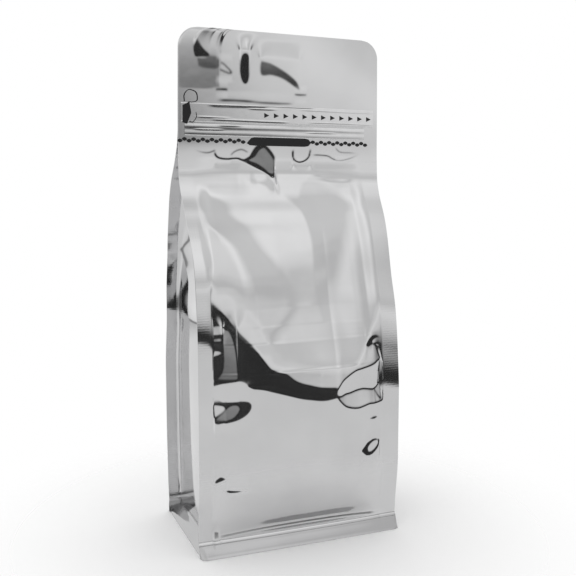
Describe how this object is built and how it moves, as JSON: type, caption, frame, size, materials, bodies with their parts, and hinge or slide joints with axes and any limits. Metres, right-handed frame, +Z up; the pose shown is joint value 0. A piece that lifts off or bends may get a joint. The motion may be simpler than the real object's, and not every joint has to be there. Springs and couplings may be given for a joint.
{
  "type": "flat bottom bag",
  "caption": "Shut, filled flat bottom bag of mirror foil with sealed side fins, folded gussets, a flat header, a tear strip and a press-shut track.",
  "frame": {"origin": "middle of the base, on the surface that the bag stands on", "axes": "+Z up along the bag, +X to the right along the front panel, -Y out of the front panel"},
  "size_m": [0.14, 0.1048, 0.332],
  "materials": {
    "foil": "mirror film",
    "strip": "mirror film over a plastic tape",
    "print": "dark gloss print"
  },
  "bodies": {
    "root": {"foil_bag": "foil", "tear_strip": "strip", "zipper_track": "strip", "pull_tab": "print"}
  },
  "joints": []
}
